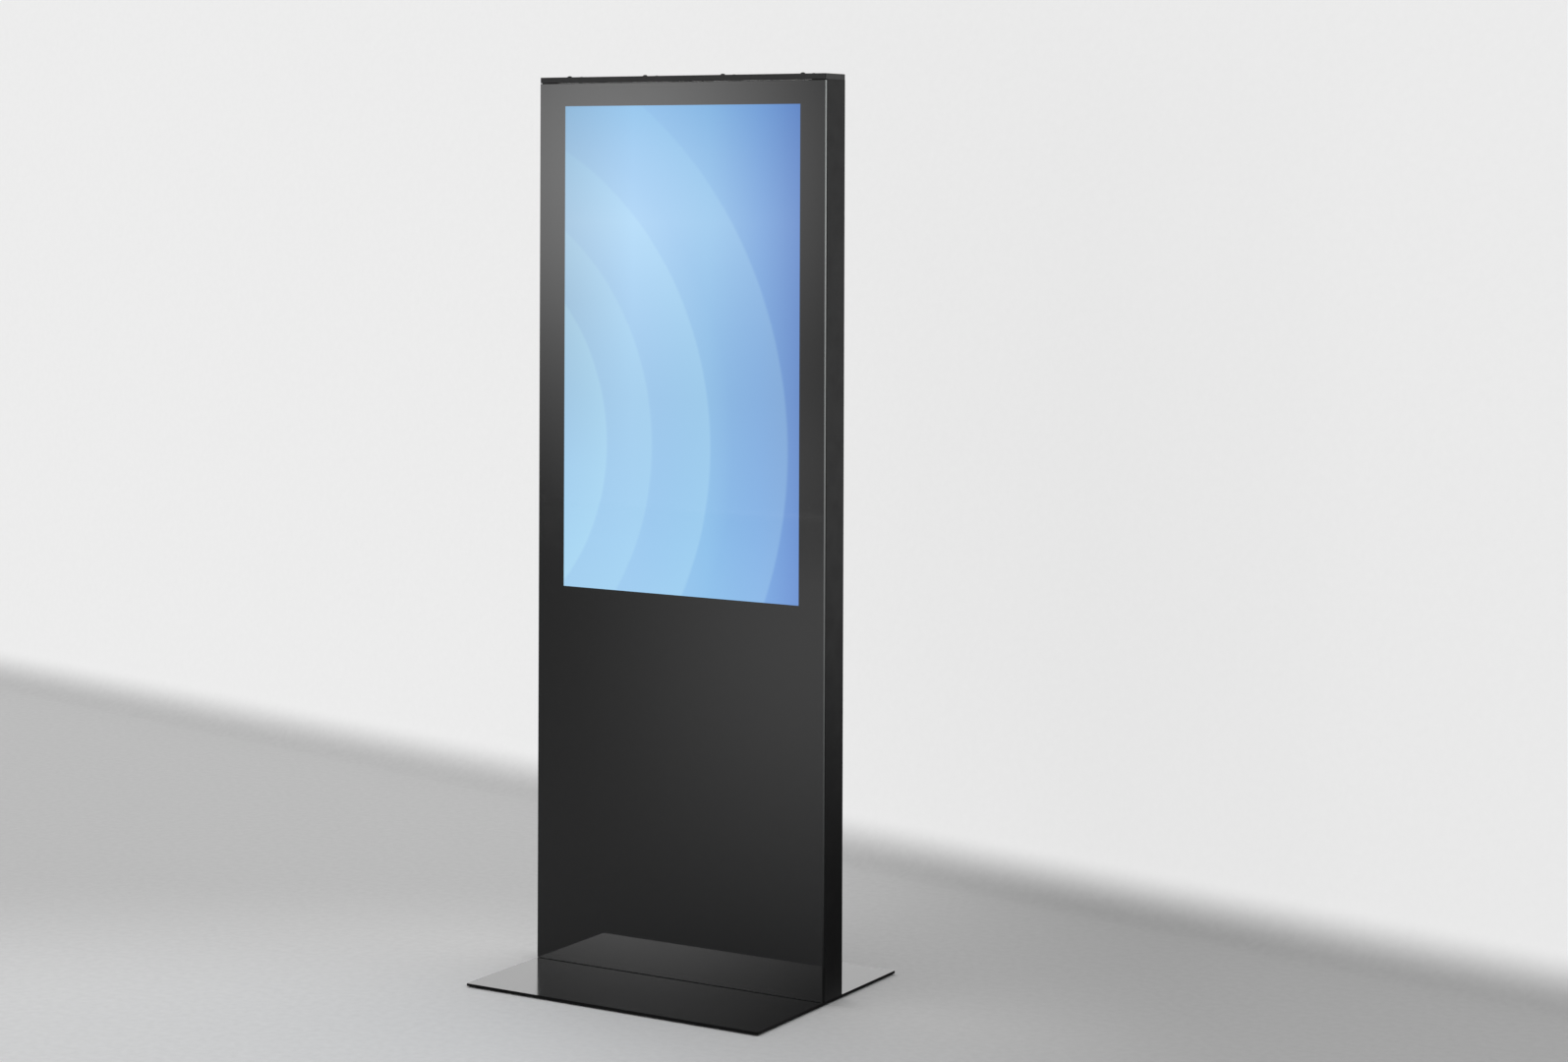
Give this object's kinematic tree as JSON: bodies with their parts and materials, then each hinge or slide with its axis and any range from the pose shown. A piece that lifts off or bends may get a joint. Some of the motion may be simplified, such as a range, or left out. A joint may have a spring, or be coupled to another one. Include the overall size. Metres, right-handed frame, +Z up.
{
  "type": "touchscreen kiosk",
  "caption": "Slim floor-standing touchscreen kiosk with a portrait display behind a full-height black glass front, on a flat steel base plate.",
  "frame": {"origin": "on the floor under the middle of the base plate", "axes": "+Z up, +Y from the glass front towards the rear panels, +X to the right seen from the front"},
  "size_m": [0.643, 0.53, 1.7437],
  "materials": {
    "powder_coat_black": "satin black powder coat",
    "gloss_black_plate": "high-gloss black lacquer",
    "anodised_black": "black anodised",
    "zinc_steel": "bright zinc plated",
    "black_steel_screw": "black oxide",
    "nickel_lock": "nickel plated",
    "clear_glass": "toughened, polished edges",
    "black_print": "ceramic print fired on the back of the glass",
    "touch_glass": "clear touch sensor",
    "screen": "lit liquid-crystal panel",
    "black_foam": "closed-cell foam",
    "black_rubber": "moulded rubber",
    "black_plastic": "fine-textured moulding",
    "fan_plastic": "glass-filled moulding",
    "circuit_board": "solder mask",
    "filter_foam": "open-cell filter mat",
    "player_case": "black anodised finned case",
    "cable_jacket": "cable jacket",
    "grey_plastic": "moulded light grey"
  },
  "bodies": {
    "cabinet": {"base_plate": "gloss_black_plate", "floor_pads": "black_rubber", "base_bolts": "zinc_steel", "base_nuts": "zinc_steel", "foot_channel": "zinc_steel", "side_profile_left": "powder_coat_black", "side_profile_right": "powder_coat_black", "top_rail": "zinc_steel", "top_cap": "powder_coat_black", "top_cap_screws": "black_steel_screw", "rear_rails": "zinc_steel", "crossbars": "zinc_steel", "frame_bolts": "zinc_steel", "front_glass": "clear_glass", "glass_border_print": "black_print", "glass_bond_tape": "black_foam", "touch_sensor": "touch_glass", "touch_controller": "black_plastic", "display_gasket": "black_foam", "display_bezel": "black_plastic", "lcd_panel": "screen", "backlight_unit": "grey_plastic", "display_chassis": "zinc_steel", "display_boards": "circuit_board", "display_rear_cover": "powder_coat_black", "display_mount_rails": "zinc_steel", "display_mount_screws": "zinc_steel", "rear_panel": "powder_coat_black", "rear_panel_seal": "black_foam", "panel_screws": "black_steel_screw", "rear_skirt": "powder_coat_black", "cable_grommet": "black_rubber", "mains_inlet": "black_plastic", "fan_frames": "fan_plastic", "hinge_frame_leaves": "powder_coat_black", "hinge_pins": "zinc_steel", "hinge_frame_screws": "black_steel_screw", "equipment_plate": "zinc_steel", "media_player": "player_case", "power_supply": "black_plastic", "outlet_strip": "black_plastic", "mains_cables": "cable_jacket", "data_cables": "cable_jacket"},
    "door": {"rear_door": "powder_coat_black", "door_seal": "black_foam", "filter_mat": "filter_foam", "filter_frame": "black_plastic", "hinge_door_leaves": "powder_coat_black", "hinge_door_screws": "black_steel_screw", "lock_housings": "nickel_lock", "lock_nuts": "zinc_steel"},
    "lock_lower": {"lock_plug_lower": "nickel_lock", "lock_cam_lower": "zinc_steel"},
    "lock_upper": {"lock_plug_upper": "nickel_lock", "lock_cam_upper": "zinc_steel"},
    "fan_left": {"fan_rotor_left": "fan_plastic"},
    "fan_right": {"fan_rotor_right": "fan_plastic"},
    "switch": {"power_switch": "black_plastic"},
    "player_key": {"player_button": "grey_plastic"},
    "screen_key": {"display_key": "black_plastic"}
  },
  "joints": [
    {"name": "door_hinge", "type": "hinge", "parent": "cabinet", "child": "door", "pos_m": [0.299, 0.0555, 0.42], "axis": [0, 0, -1], "range_deg": [0, 160]},
    {"name": "lock_lower_turn", "type": "hinge", "parent": "door", "child": "lock_lower", "pos_m": [-0.262, 0.051, 0.23], "axis": [0, 1, 0], "range_deg": [0, 90]},
    {"name": "lock_upper_turn", "type": "hinge", "parent": "door", "child": "lock_upper", "pos_m": [-0.262, 0.051, 0.608], "axis": [0, 1, 0], "range_deg": [0, 90]},
    {"name": "fan_left_spin", "type": "hinge", "parent": "cabinet", "child": "fan_left", "pos_m": [-0.12, 0.037, 1.621], "axis": [0, 1, 0], "continuous": true},
    {"name": "fan_right_spin", "type": "hinge", "parent": "cabinet", "child": "fan_right", "pos_m": [0.12, 0.037, 1.621], "axis": [0, 1, 0], "continuous": true},
    {"name": "power_switch_rock", "type": "hinge", "parent": "cabinet", "child": "switch", "pos_m": [-0.219, 0.05, 0.059], "axis": [1, 0, 0], "range_deg": [0, 16]},
    {"name": "player_button_press", "type": "slide", "parent": "cabinet", "child": "player_key", "axis": [0, -1, 0], "range_m": [0, 0.001]},
    {"name": "screen_key_press", "type": "slide", "parent": "cabinet", "child": "screen_key", "axis": [0, -1, 0], "range_m": [0, 0.0008]}
  ]
}
